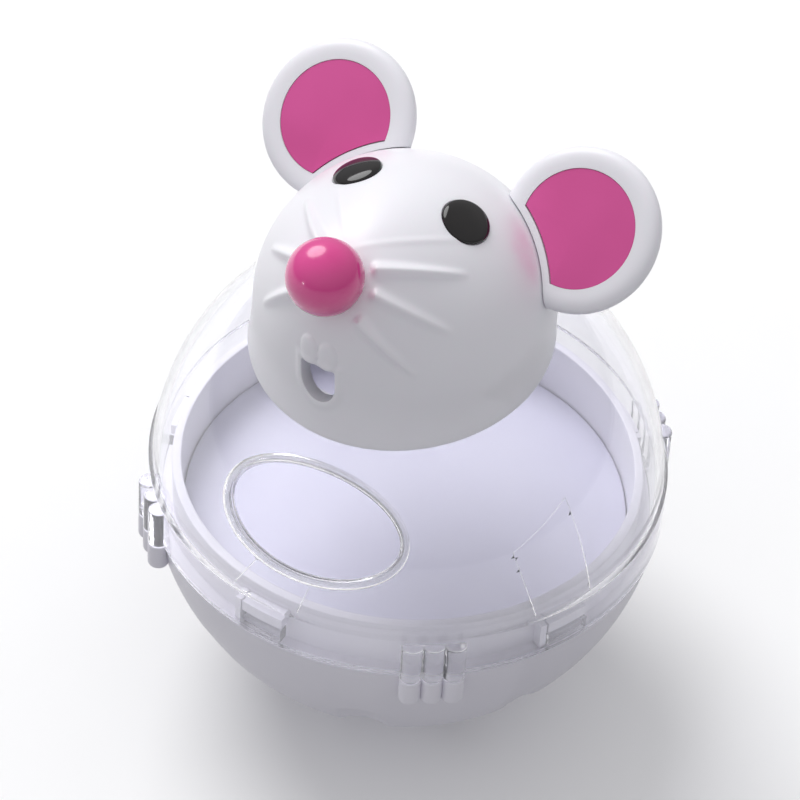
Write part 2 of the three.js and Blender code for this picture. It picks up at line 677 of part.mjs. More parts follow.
const head = new THREE.Group();
head.position.set(0, HEAD_Y, BODY_Z + HEAD_RISE);
head.rotation.x = -radians(HEAD_TILT);
head.add(
  headShell(),
  meshOf('nose', noseForm(0), pinkGloss),
  meshOf('eye_left', eyeForm(1, 0), blackGloss),
  meshOf('eye_right', eyeForm(-1, 0), blackGloss),
  ear('ear_left', 1),
  ear('ear_right', -1),
  earPad('ear_pad_left', 1),
  earPad('ear_pad_right', -1),
);

const upper = new THREE.Group();
upper.add(clearDome(), neck, head);

export default new THREE.Group().add(base, upper);
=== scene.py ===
import math

import bpy
import numpy as np
from mathutils import Matrix, Vector


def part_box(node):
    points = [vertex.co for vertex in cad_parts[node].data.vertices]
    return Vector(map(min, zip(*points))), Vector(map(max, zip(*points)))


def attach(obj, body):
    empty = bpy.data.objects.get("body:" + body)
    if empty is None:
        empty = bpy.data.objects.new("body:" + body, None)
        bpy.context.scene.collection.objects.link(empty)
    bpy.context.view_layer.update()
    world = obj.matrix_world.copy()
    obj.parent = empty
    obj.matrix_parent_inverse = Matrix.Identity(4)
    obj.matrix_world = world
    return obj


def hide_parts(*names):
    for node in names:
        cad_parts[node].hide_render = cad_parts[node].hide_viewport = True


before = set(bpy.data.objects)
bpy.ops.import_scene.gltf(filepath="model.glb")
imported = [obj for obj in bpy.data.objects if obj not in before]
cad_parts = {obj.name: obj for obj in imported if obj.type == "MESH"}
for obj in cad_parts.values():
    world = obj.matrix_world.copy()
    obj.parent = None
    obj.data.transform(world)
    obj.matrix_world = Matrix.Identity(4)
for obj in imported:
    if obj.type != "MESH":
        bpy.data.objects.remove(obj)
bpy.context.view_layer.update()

# Lengths are millimetres here and become metres when a mesh is made. +Z is up, and the mouse looks
# towards -Y. Angles round the body are degrees: 0 is the front (-Y), +90 is +X.
MM = 0.001
GAP = 0.3

BODY_R = 54.7
FOOT_R = 14.0                   # half-width of the flat face it rests on
BODY_Z = math.sqrt(BODY_R**2 - FOOT_R**2)
SEAM_DROP = 5.3
SEAM_Z = BODY_Z - SEAM_DROP
BOWL_WALL = 2.6
BOWL_FLOOR_Z = 2.6
COLLAR_TOP = 10.0
COLLAR_R = 50.0
COLLAR_WALL = 2.0
COLLAR_BORE_R = COLLAR_R - COLLAR_WALL
LEDGE_R = 46.0
LEDGE_THICKNESS = 2.0
LEDGE_FOOT_Z = 36.5
BOWL_EDGE = 0.6                 # bevel at the seam
BOWL_BOSS_LOW = 8.4

DOME_WALL = 1.9
SHOULDER_RISE = 0.8             # from the rim's top up to the start of the ball
INNER_ARC_LOW = 3.4
RIM_BORE_TOP = 7.5
RIM_BORE_LOW = 3.5
DOME_BOSS_HEIGHT = 5.2
TURNED_EDGE = 0.35              # rounding of the bowl's and the rim's corners
RIM_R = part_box("clear_dome")[1].x / MM
RIM_TOP = 10.2
RIM_BORE_R = 52.9

HOLE_AZIMUTH = 6.8
HOLE_LATITUDE = 28.0
HOLE_HALF_WIDTH = 19.1
HOLE_HALF_HEIGHT = 11.2
LIP_HALF_WIDTH = 1.15
LIP_HALF_DEPTH = 1.3
LIP_OFFSET = 0.6                # share of its half-width that the lip stands outside the hole
LIP_STEPS = 200

WITNESS_HALF_WIDTH = 0.10
WITNESS_HALF_DEPTH = 0.08
WITNESS_STEPS = 14
# Fine mould lines over the dome, as (azimuth, latitude) corners
WITNESS_LINES = (
    ((61.4, 6.5), (56.7, 23.9), (73.5, 31.2), (76.1, 6.5)),
    ((-7.9, 6.5), (-3.2, 15.5)),
    ((8.3, 6.5), (10.3, 14.0)),
)

TAB_COUNT = 5
TAB_START = -1.0
TAB_SPAN = 10.5
STOP_SPAN = 1.6
STOP_GAP = 0.4
TAB_SINK = 0.6                  # how far a tab starts inside the collar
TAB_CLEARANCE = 0.4
TAB_ROOT = 0.5                  # how far a tab runs into the rim, or stops short of it
DOME_TAB = (0.4, 3.4)
COLLAR_TAB = (3.8, 6.4)
LUG_ANGLES = (-41.5, 38.5, 138.5, 218.5)
LUG_TOP = 9.5
LUG_BOTTOM = -6.5
RIB_R = 2.3
RIB_PITCH = 4.4
RIB_AXIS_R = 55.2

ARCH_COUNT = 8
ARCH_START = 22.5
ARCH_HALF_WIDTH = 6.2
ARCH_RADIAL = 3.2
ARCH_DEPTH = 1.3
ARCH_TOP = -30.0

WEIGHT_R = 23.5
WEIGHT_TOP = 12.0
WEIGHT_SEAT_GAP = 0.4
WEIGHT_EDGE = 1.0
FLOOR_EDGE_Z = 44.5
FLOOR_THICKNESS = 2.0
FLOOR_UNDERSIDE = FLOOR_EDGE_Z - FLOOR_THICKNESS
FLOOR_CROWN = 2.0
COLUMN_LOW = 12.6
COLUMN_HOLE_TOP = 20.0
BASE_SCREW_TIP = 19.0
BASE_SCREW_R = 28.5
BASE_BOSS_TOP = 12.2
BASE_SEAT_Z = 10.0
SCREW_SHANK_R = 1.15
SCREW_HOLE_R = 1.5
SCREW_HEAD_R = 2.6
SCREW_HEAD_H = 1.8
SCREW_HEAD_ROUND = 0.9
SCREW_POINT = 1.4
SCREW_TIP_GAP = 1.8
RECESS_HALF_LENGTH = 1.5
RECESS_HALF_WIDTH = 0.35
RECESS_START = -0.5
RECESS_DEPTH = 0.9
WELL_R = 3.1
BOSS_R = 3.9

HEAD_R = 31.0
HEAD_Y = -5.8
HEAD_RISE = 52.2
HEAD_TILT = 42.8
HEAD_WALL = 2.4
SNOUT_LENGTH = 7.0
SNOUT_SPREAD = 27.0
INNER_SNOUT = 2.8
SKIRT_FLARE = 1.5               # 1 would make the wall below the ball's middle upright
SKIRT_DEPTH = 0.64              # sine of the angle below the horizontal where it stops growing
NECK_TILT = math.degrees(math.atan2(-HEAD_Y, HEAD_RISE))
NECK_PLATE_R = 27.4
NECK_PLATE_THICKNESS = 2.2
NECK_SCREW_R = 17.0
NECK_SEAT = 47.6
NECK_BOSS_TOP = 62.0
NECK_HOLE_SKIN = 1.2            # plastic left over the blind screw holes

# Face places are [sideways, up, forward] from the head's centre, in the tipped frame.
NOSE_FORWARD = 42.4
NOSE_R = 7.8
NOSE_STEM_R = 3.0
NOSE_STEM_LENGTH = 13.0
EYE_PLACE = (12.9, 20.4, 19.4)
EYE_R = 5.1
EYE_HALF_THICKNESS = 1.3
MOUTH_PLACE = (0.0, -20.2, 24.4)
MOUTH_HALF_WIDTH = 4.0
MOUTH_TOP = 4.6
MOUTH_BOTTOM = 5.4
MOUTH_DEPTH = 14.0
MOUTH_CORNER = 1.1
LIP_RISE = 0.45                 # the raised edge round the mouth
LIP_PLACE = 0.5
LIP_WIDTH = 0.9
FRONT_ONLY = -8                 # keeps the mouth and teeth off the back of the head
TOOTH_PLACE = (2.1, -14.6, 29.6)
TOOTH_HALF = (2.2, 3.6)
TOOTH_RISE = 0.7
TOOTH_POWER = 2.4
WHISKERS = (
    ((5.4, 4.6, 36.2), (19.3, 11.3, 22.0)),
    ((7.3, 0.7, 36.1), (21.8, -0.5, 22.7)),
    ((6.4, -4.9, 35.7), (18.5, -11.3, 22.9)),
)
WHISKER_RISE = 1.7
WHISKER_WIDTH = 1.35
WHISKER_TAPER = 0.45
WHISKER_START = 0.08            # share of its length over which a ridge rises
WHISKER_FADE = 2.2
CREASE = ((-0.9, 6.1, 36.7), (16.9, 18.3, 18.7))
CREASE_STEP = 0.22
CREASE_WIDTH = 0.8
# Painted pink bounce light from the ear pad, on the head beside each ear
PAINTED_BOUNCE_PLACE = (22.6, 20.2, 6.3)
PAINTED_BOUNCE_INNER = 2.0
PAINTED_BOUNCE_OUTER = 9.0
EAR_PLACE = (29.0, 27.9, 1.7)
EAR_R = 16.9
EAR_THICKNESS = 4.6
EAR_ROUND = 3.6                 # width of the rounded edge
EAR_POWER = 2.4                 # how square the edge's curve is
EAR_RECESS = 1.2
EAR_PAD_R = 11.9
EAR_PAD_THICKNESS = 0.8
EAR_PAD_MARGIN = 2.0
PAD_FIT = 0.05
EAR_PEG_R = 1.6
EAR_PEG_SETBACK = 0.6
EAR_PEG_END = 25.5
PEG_OVERLAP = 0.5               # share of the pad's radius that the peg runs in under it

SEGMENTS = 360
FINE = 64


# ---- Frames ----

def tilted(degrees, x, y, z):
    return Matrix.Translation((x, y, z)) @ Matrix.Rotation(math.radians(degrees), 4, "X")


UPRIGHT = Matrix.Identity(4)
BALL = tilted(0, 0, 0, BODY_Z)
NECK = tilted(NECK_TILT, 0, 0, BODY_Z)
HOLE_TURN = (Matrix.Rotation(math.radians(HOLE_AZIMUTH), 4, "Z")
             @ Matrix.Rotation(math.radians(90 - HOLE_LATITUDE), 4, "X"))
# The head's own frame has +Y towards the crown and +Z along the snout.
HEAD = tilted(90 - HEAD_TILT, 0, HEAD_Y, BODY_Z + HEAD_RISE)


def around(degrees, radius, z=0.0):
    angle = math.radians(degrees)
    return Vector((radius * math.sin(angle), -radius * math.cos(angle), z))


def every_step(count, start):
    return [start + 360 * i / count for i in range(count)]


def mirrored(place, side):
    return Vector((place[0] * side, place[1], place[2]))


# ---- Meshes ----

def moved(points, matrix):
    m = np.array(matrix)
    return np.asarray(points, float) @ m[:3, :3].T + m[:3, 3]


def solid(rings, matrix=UPRIGHT, looped=False):
    """A closed mesh through rings of points; a ring of one point is a pole."""
    starts = np.cumsum([0] + [len(ring) for ring in rings])
    points = moved(np.concatenate(rings), matrix)
    faces = []
    last = len(rings) if looped else len(rings) - 1
    for a in range(last):
        b = (a + 1) % len(rings)
        size_a, size_b = len(rings[a]), len(rings[b])
        for i in range(max(size_a, size_b)):
            j = i + 1
            corners = (
                starts[a] + i % size_a,
                starts[a] + j % size_a,
                starts[b] + j % size_b,
                starts[b] + i % size_b,
            )
            faces.append(list(dict.fromkeys(int(corner) for corner in corners)))
    mesh = bpy.data.meshes.new("solid")
    mesh.from_pydata((points * MM).tolist(), [], faces)
    made = bpy.data.objects.new("solid", mesh)
    bpy.context.scene.collection.objects.link(made)
    return made


def ring(radius, z, segments):
    """A circle round +Z, or the single point on the axis when the radius is 0."""
    if radius <= 1e-9:
        return np.array([[0.0, 0.0, z]])
    angle = np.arange(segments) * 2 * math.pi / segments
    return np.stack([radius * np.cos(angle), radius * np.sin(angle), np.full(segments, z)], 1)


def turned(profile, matrix=UPRIGHT, segments=FINE):
    """A lathe round +Z. The profile runs from the axis at the bottom along the outside."""
    return solid([ring(r, z, segments) for r, z in profile], matrix)


def arc(radius, z, start, end, steps):
    latitudes = np.radians(np.linspace(start, end, steps + 1))
    return [(abs(radius * math.cos(a)) if abs(math.cos(a)) > 1e-9 else 0.0, z + radius * math.sin(a))
            for a in latitudes]


def latitude_at(radius, height):
    return math.degrees(math.asin(height / radius))


def rounded(corners, radius, steps=4):
    """The profile with each inner corner replaced by a short quadratic curve."""
    points = [corners[0]]
    for before, corner, after in zip(corners, corners[1:], corners[2:]):
        here = Vector(corner)
        back, on = Vector(before) - here, Vector(after) - here
        reach = min(radius, back.length / 2, on.length / 2)
        start, end = here + back.normalized() * reach, here + on.normalized() * reach
        for i in range(steps + 1):
            t = i / steps
            points.append(tuple(start * (1 - t) ** 2 + here * 2 * t * (1 - t) + end * t**2))
    points.append(corners[-1])
    return points


def rod(radius, low, high, matrix=UPRIGHT, edge=0.0, segments=FINE):
    corners = [(0, low), (radius, low), (radius, high), (0, high)]
    return turned(rounded(corners, edge) if edge else corners, matrix, segments)


def combine(target, tool, operation):
    """Joins the tool to the target or cuts it away, and removes the tool."""
    modifier = target.modifiers.new("combine", "BOOLEAN")
    modifier.operation = operation
    modifier.solver = "MANIFOLD"
    modifier.object = tool
    depsgraph = bpy.context.evaluated_depsgraph_get()
    mesh = bpy.data.meshes.new_from_object(target.evaluated_get(depsgraph))
    target.modifiers.clear()
    before = len(target.data.vertices)
    if not len(mesh.vertices) or (operation == "UNION" and len(mesh.vertices) == before):
        raise RuntimeError(f"a {operation} changed nothing on a mesh of {before} vertices")
    target.data = mesh
    bpy.data.objects.remove(tool)
    return target


def cut(target, *tools):
    for tool in tools:
        combine(target, tool, "DIFFERENCE")
    return target


def join(target, *tools):
    for tool in tools:
        combine(target, tool, "UNION")
    return target


def sector(inner, outer, low, high, centre, span):
    """A block that follows the ring, between two radii, two heights and two angles."""
    angles = np.linspace(centre - span / 2, centre + span / 2, 13)
    corners = ((inner, low), (outer, low), (outer, high), (inner, high))
    slices = [np.array([around(angle, r, z) for r, z in corners]) for angle in angles]
    first, last = slices[0].mean(0, keepdims=True), slices[-1].mean(0, keepdims=True)
    return solid([last, *slices[::-1], first])


def tube(path, half_width, half_depth, outs, looped=True, segments=20):
    """An oval tube along a path; outs are the directions of its half_depth."""
    path, outs = np.asarray(path, float), np.asarray(outs, float)
    if looped:
        along = np.roll(path, -1, 0) - np.roll(path, 1, 0)
    else:
        along = np.gradient(path, axis=0)
    sides = np.cross(outs, along)
    sides /= np.linalg.norm(sides, axis=1, keepdims=True)
    angle = np.arange(segments) * 2 * math.pi / segments
    rings = [
        p + np.outer(np.cos(angle) * half_width, s) + np.outer(np.sin(angle) * half_depth, o)
        for p, s, o in zip(path, sides, outs)
    ]
    rings = [r[::-1] for r in rings]
    if not looped:
        rings = [path[:1], *rings, path[-1:]]
    return solid(rings, looped=looped)


def facing(place, matrix=HEAD):
    """A frame at a place on the head with +Z outwards and +Y towards the crown."""
    out = Vector(place).normalized()
    side = Vector((0, 1, 0)).cross(out).normalized()
    up = out.cross(side)
    local = Matrix((side, up, out)).transposed().to_4x4()
    local.translation = place
    return matrix @ local


def finish_piece(piece, name, body, material, replaces, crease=38):
    piece.name = name
    mesh = piece.data
    mesh.name = name
    mesh.materials.clear()
    mesh.materials.append(material)
    mesh.polygons.foreach_set("material_index", [0] * len(mesh.polygons))
    mesh.shade_smooth()
    mesh.set_sharp_from_angle(angle=math.radians(crease))
    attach(piece, body)
    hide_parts(*replaces)
    return piece


# ---- Materials ----

class Nodes:
    """A short way to build a node tree."""

    def __init__(self, name):
        self.material = bpy.data.materials.new(name)
        self.material.use_nodes = True
        self.tree = self.material.node_tree
        self.shader = self.tree.nodes["Principled BSDF"]
        self.place = self.add("ShaderNodeTexCoord").outputs["Object"]

    def add(self, kind, **values):
        node = self.tree.nodes.new(kind)
        for key, value in values.items():
            setattr(node, key, value)
        return node

    def link(self, source, target):
        self.tree.links.new(source, target)

    def set(self, **values):
        for key, value in values.items():
            self.shader.inputs[key.replace("_", " ")].default_value = value

    def noise(self, scale, detail=3.0, roughness=0.5):
        node = self.add("ShaderNodeTexNoise")
        node.inputs["Scale"].default_value = scale
        node.inputs["Detail"].default_value = detail
        node.inputs["Roughness"].default_value = roughness
        self.link(self.place, node.inputs["Vector"])
        return node.outputs["Fac"]

    def ramp(self, source, low, high, start=0.35, end=0.65):
        node = self.add("ShaderNodeMapRange")
        self.link(source, node.inputs["Value"])
        for key, value in (("From Min", start), ("From Max", end), ("To Min", low), ("To Max", high)):
            node.inputs[key].default_value = value
        return node.outputs["Result"]

    def mix(self, factor, first, second):
        node = self.add("ShaderNodeMix", data_type="RGBA")
        self.link(factor, node.inputs["Factor"])
        for value, socket in ((first, node.inputs[6]), (second, node.inputs[7])):
            if isinstance(value, tuple):
                socket.default_value = (*value, 1)
            else:
                self.link(value, socket)
        return node.outputs[2]

    def bump(self, source, strength, distance):
        node = self.add("ShaderNodeBump")
        node.inputs["Strength"].default_value = strength
        node.inputs["Distance"].default_value = distance
        self.link(source, node.inputs["Height"])
        self.link(node.outputs["Normal"], self.shader.inputs["Normal"])

    def let_lamps_through(self, tint):
        """Passes the light of a lamp straight through, tinted, instead of shadowing it."""
        clear = self.add("ShaderNodeBsdfTransparent")
        clear.inputs["Color"].default_value = (*tint, 1)
        mixer = self.add("ShaderNodeMixShader")
        self.link(self.add("ShaderNodeLightPath").outputs["Is Shadow Ray"], mixer.inputs[0])
        self.link(self.shader.outputs[0], mixer.inputs[1])
        self.link(clear.outputs[0], mixer.inputs[2])
        self.link(mixer.outputs[0], self.tree.nodes["Material Output"].inputs["Surface"])

    def near(self, point, inner, outer):
        """1 within the inner distance of a point, falling smoothly to 0 at the outer one."""
        node = self.add("ShaderNodeVectorMath", operation="DISTANCE")
        self.link(self.place, node.inputs[0])
        node.inputs[1].default_value = tuple(Vector(point) * MM)
        fall = self.add("ShaderNodeMapRange", interpolation_type="SMOOTHERSTEP")
        self.link(node.outputs["Value"], fall.inputs["Value"])
        for key, value in (
            ("From Min", inner * MM), ("From Max", outer * MM), ("To Min", 1.0), ("To Max", 0.0),
        ):
            fall.inputs[key].default_value = value
        return fall.outputs["Result"]

    def times(self, first, second):
        node = self.add("ShaderNodeMath", operation="MULTIPLY")
        for value, socket in ((first, node.inputs[0]), (second, node.inputs[1])):
            if isinstance(value, (int, float)):
                socket.default_value = value
            else:
                self.link(value, socket)
        return node.outputs["Value"]

    def base(self, source):
        self.link(source, self.shader.inputs["Base Color"])

    def rough(self, source):
        self.link(source, self.shader.inputs["Roughness"])


def moulded(name, light, dark, roughness, grain=0.12):
    """Moulded plastic: cloudy colour, uneven gloss, and a fine satin grain."""
    n = Nodes(name)
    n.base(n.mix(n.ramp(n.noise(38.0, 2.0), 0.0, 1.0), light, dark))
    n.rough(n.ramp(n.noise(90.0, 2.0), roughness - 0.015, roughness + 0.02, 0.2, 0.8))
    n.bump(n.noise(3200.0, 2.0), grain, 0.00003)
    return n


def head_white():
    n = moulded("head_white", (0.87, 0.86, 0.905), (0.86, 0.85, 0.897), 0.34)
    n.set(Subsurface_Weight=0.25, Subsurface_Scale=0.003, Subsurface_Radius=(1.0, 0.8, 0.9), IOR=1.5)
    colour = n.shader.inputs["Base Color"].links[0].from_socket
    # Painted pink bounce light: a soft pink glow on the head next to each pink ear pad.
    for side in (1, -1):
        painted_bounce = n.near(HEAD @ mirrored(PAINTED_BOUNCE_PLACE, side), PAINTED_BOUNCE_INNER, PAINTED_BOUNCE_OUTER)
        colour = n.mix(n.times(painted_bounce, n.ramp(n.noise(240.0), 0.2, 0.34)), colour, (0.9, 0.42, 0.66))
    n.base(colour)
    return n.material


def ear_white():
    n = moulded("ear_white", (0.87, 0.86, 0.905), (0.86, 0.85, 0.897), 0.34)
    n.set(Subsurface_Weight=0.2, Subsurface_Scale=0.002, Subsurface_Radius=(1.0, 0.8, 0.9), IOR=1.5)
    return n.material


def bowl_white():
    n = moulded("bowl_white", (0.82, 0.805, 0.865), (0.80, 0.785, 0.85), 0.4)
    n.set(IOR=1.5)
    return n.material


def floor_white():
    # Painted shade: the white floor plate is given a darker lavender colour than the bowl, for the shade
    # inside the dome.
    n = moulded("floor_white", (0.66, 0.65, 0.76), (0.64, 0.63, 0.745), 0.45)
    n.set(IOR=1.5)
    return n.material


def dome_clear():
    n = Nodes("dome_clear")
    n.set(Transmission_Weight=0.93, IOR=1.45)
    n.base(n.mix(n.ramp(n.noise(40.0), 0.0, 1.0), (0.985, 0.985, 1.0), (0.965, 0.965, 0.99)))
    scratches = n.noise(500.0, 6.0, 0.7)
    n.rough(n.ramp(scratches, 0.0, 0.05, 0.5, 0.75))
    n.bump(n.noise(30.0, 2.0), 0.06, 0.0006)
    n.let_lamps_through((0.94, 0.94, 0.975))
    return n.material


def nose_pink():
    n = Nodes("nose_pink")
    n.base(n.mix(n.ramp(n.noise(70.0), 0.0, 1.0), (0.76, 0.06, 0.30), (0.70, 0.045, 0.26)))
    n.rough(n.ramp(n.noise(300.0, 5.0), 0.16, 0.26))
    n.bump(n.noise(900.0, 2.0), 0.05, 0.00005)
    n.set(Coat_Weight=0.6, Coat_Roughness=0.06, IOR=1.5)
    return n.material


def ear_pink():
    n = moulded("ear_pink", (0.72, 0.095, 0.34), (0.66, 0.08, 0.30), 0.42, 0.2)
    n.set(IOR=1.46)
    return n.material


def eye_black():
    n = Nodes("eye_black")
    n.base(n.mix(n.ramp(n.noise(350.0), 0.0, 1.0), (0.005, 0.004, 0.004), (0.008, 0.006, 0.006)))
    n.rough(n.ramp(n.noise(700.0, 5.0), 0.05, 0.1))
    n.bump(n.noise(400.0, 2.0), 0.05, 0.00004)
    n.set(IOR=1.5)
    return n.material


def weight_iron():
    n = Nodes("weight_iron")
    n.base(n.mix(n.ramp(n.noise(400.0, 6.0), 0.0, 1.0), (0.10, 0.10, 0.11), (0.19, 0.18, 0.175)))
    n.rough(n.ramp(n.noise(900.0, 5.0), 0.45, 0.75))
    n.bump(n.noise(1200.0, 5.0), 0.5, 0.0003)
    n.set(Metallic=0.9)
    return n.material


def screw_steel():
    n = Nodes("screw_steel")
    n.base(n.mix(n.ramp(n.noise(800.0, 4.0), 0.0, 1.0), (0.62, 0.63, 0.65), (0.45, 0.46, 0.48)))
    n.rough(n.ramp(n.noise(1500.0, 4.0), 0.22, 0.42))
    n.bump(n.noise(2500.0, 3.0), 0.2, 0.00005)
    n.set(Metallic=1.0)
    return n.material


# ---- Body pieces ----

tab_angles = every_step(TAB_COUNT, TAB_START)
screw_angles = every_step(3, 60.0)


def screw_rod(radius, low, high, circle, degrees, matrix=UPRIGHT, edge=0.0):
    return rod(radius, low, high, matrix @ Matrix.Translation(around(degrees, circle)), edge, 40)


def arch_depth(points):
    """How far the arched recesses sink into the bowl at points given from the ball's centre."""
    azimuth = np.degrees(np.arctan2(points[:, 0], -points[:, 1]))
    latitude = np.degrees(np.arcsin(np.clip(points[:, 2] / BODY_R, -1, 1)))
    step = 360 / ARCH_COUNT
    off = (azimuth - ARCH_START + step / 2) % step - step / 2
    across = np.radians(off) * np.hypot(points[:, 0], points[:, 1])
    above = np.maximum(0, np.radians(latitude - ARCH_TOP) * BODY_R)
    reach = np.clip(1 - (across**2 + above**2) / ARCH_HALF_WIDTH**2, 0, 1)
    sunk = ARCH_RADIAL * np.sqrt(reach) - (ARCH_RADIAL - ARCH_DEPTH)
    return np.clip(sunk, 0, None)


def lug(degrees, low, high, low_edge, high_edge):
    """Three half-round ribs side by side."""
    ribs = []
    for side in (-1, 0, 1):
        angle = math.radians(degrees)
        matrix = Matrix.Rotation(angle, 4, "Z") @ Matrix.Translation((side * RIB_PITCH, -RIB_AXIS_R, 0))
        profile = [
            *rounded([(0, low), (RIB_R, low), (RIB_R, (low + high) / 2)], low_edge, 7)[:-1],
            *rounded([(RIB_R, (low + high) / 2), (RIB_R, high), (0, high)], high_edge, 5)[1:],
        ]
        ribs.append(turned(profile, matrix, 40))
    return join(ribs[0], *ribs[1:])


def base_bowl():
    inner_r = BODY_R - BOWL_WALL
    foot = latitude_at(BODY_R, -BODY_Z)
    rings = [ring(r, 0, SEGMENTS) for r in (0, FOOT_R * 0.5)]
    for latitude in np.linspace(foot, latitude_at(BODY_R, -SEAM_DROP - 0.5), 96):
        angle = math.radians(latitude)
        points = ring(BODY_R * math.cos(angle), BODY_R * math.sin(angle), SEGMENTS)
        points *= (1 - arch_depth(points) / BODY_R)[:, None]
        rings.append(points + (0, 0, BODY_Z))
    edge_r = math.sqrt(BODY_R**2 - SEAM_DROP**2)
    ledge = FLOOR_UNDERSIDE - GAP
    inside = arc(inner_r, BODY_Z, latitude_at(inner_r, LEDGE_FOOT_Z - BODY_Z),
                 latitude_at(inner_r, BOWL_FLOOR_Z - BODY_Z), 36)
    upper = rounded([
        (edge_r, SEAM_Z - BOWL_EDGE), (edge_r - BOWL_EDGE, SEAM_Z), (COLLAR_R, SEAM_Z),
        (COLLAR_R, SEAM_Z + COLLAR_TOP), (COLLAR_BORE_R, SEAM_Z + COLLAR_TOP),
        (COLLAR_BORE_R, ledge), (LEDGE_R, ledge), (LEDGE_R, ledge - LEDGE_THICKNESS), inside[0],
    ], TURNED_EDGE)
    profile = [*upper[:-1], *inside, (0, BOWL_FLOOR_Z)]
    bowl = solid(rings + [ring(r, z, SEGMENTS) for r, z in profile])
    for angle in tab_angles:
        stop = angle - (TAB_SPAN + STOP_SPAN) / 2 - STOP_GAP
        inner, outer, high = COLLAR_R - TAB_SINK, RIM_BORE_R - TAB_ROOT, SEAM_Z + COLLAR_TAB[1]
        join(
            bowl,
            sector(inner, outer, SEAM_Z + COLLAR_TAB[0], high, angle, TAB_SPAN),
            sector(inner, outer, SEAM_Z + DOME_TAB[0], high, stop, STOP_SPAN),
        )
    for angle in LUG_ANGLES:
        join(bowl, lug(angle, SEAM_Z + LUG_BOTTOM, SEAM_Z, RIB_R, 0.25))
    for angle in screw_angles:
        join(bowl, screw_rod(BOSS_R, BOWL_BOSS_LOW, BASE_BOSS_TOP, BASE_SCREW_R, angle))
        cut(bowl, screw_rod(WELL_R, -1, BASE_SEAT_Z, BASE_SCREW_R, angle))
        cut(bowl, screw_rod(SCREW_HOLE_R, 8, 14, BASE_SCREW_R, angle))
    return bowl


def counterweight():
    seat_r = BODY_R - BOWL_WALL - WEIGHT_SEAT_GAP
    bottom = BOWL_FLOOR_Z + WEIGHT_SEAT_GAP
    side = -math.degrees(math.acos(WEIGHT_R / seat_r))
    curve = arc(seat_r, BODY_Z, latitude_at(seat_r, bottom - BODY_Z), side, 20)
    return turned([
        (0, bottom), *curve,
        *rounded([curve[-1], (WEIGHT_R, WEIGHT_TOP), (0, WEIGHT_TOP)], WEIGHT_EDGE)[1:],
    ], segments=128)


def floor_plate():
    edge = COLLAR_BORE_R - GAP
    crown = [(edge * k, FLOOR_EDGE_Z + FLOOR_CROWN * (1 - k**2)) for k in np.linspace(0.985, 0, 25)]
    rim = rounded([(edge, FLOOR_UNDERSIDE + 0.2), (edge, FLOOR_EDGE_Z), crown[0]], 0.5)
    plate = turned([(0, FLOOR_UNDERSIDE), (edge, FLOOR_UNDERSIDE), *rim, *crown[1:]], segments=192)
    for angle in screw_angles:
        join(plate, screw_rod(BOSS_R, COLUMN_LOW, FLOOR_UNDERSIDE + 1, BASE_SCREW_R, angle))
        cut(plate, screw_rod(SCREW_HOLE_R, COLUMN_LOW - 1, COLUMN_HOLE_TOP, BASE_SCREW_R, angle))
    return plate


def on_ball(x, y, radius):
    """A point of the ball over the flat place (x, y) beside the hole's axis."""
    return HOLE_TURN @ Vector((x, y, math.sqrt(radius**2 - x**2 - y**2)))


def hole_cutter():
    size = Matrix.Diagonal((HOLE_HALF_WIDTH, HOLE_HALF_HEIGHT, 1, 1))
    return rod(1, BODY_R - 14, BODY_R + 12, BALL @ HOLE_TURN @ size, segments=160)


def hole_lip():
    """The rounded bead round the treat hole."""
    middle = BODY_R - DOME_WALL / 2
    grown = LIP_HALF_WIDTH * LIP_OFFSET
    places = [
        on_ball(math.cos(a) * (HOLE_HALF_WIDTH + grown), math.sin(a) * (HOLE_HALF_HEIGHT + grown), middle)
        for a in np.arange(LIP_STEPS) * 2 * math.pi / LIP_STEPS
    ]
    outs = [place.normalized() for place in places]
    path = [place + Vector((0, 0, BODY_Z)) for place in places]
    return tube(path, LIP_HALF_WIDTH, LIP_HALF_DEPTH, outs)


def witness_line(points):
    """A fine raised mould line over the dome, through (azimuth, latitude) points."""
    places, outs = [], []
    for (a0, l0), (a1, l1) in zip(points, points[1:]):
        for t in np.linspace(0, 1, WITNESS_STEPS, endpoint=(a1, l1) == points[-1]):
            azimuth, latitude = a0 + (a1 - a0) * t, math.radians(l0 + (l1 - l0) * t)
            out = around(azimuth, math.cos(latitude), math.sin(latitude))
            outs.append(out)
            places.append(out * BODY_R + Vector((0, 0, BODY_Z)))
    return tube(places, WITNESS_HALF_WIDTH, WITNESS_HALF_DEPTH, outs, looped=False, segments=8)


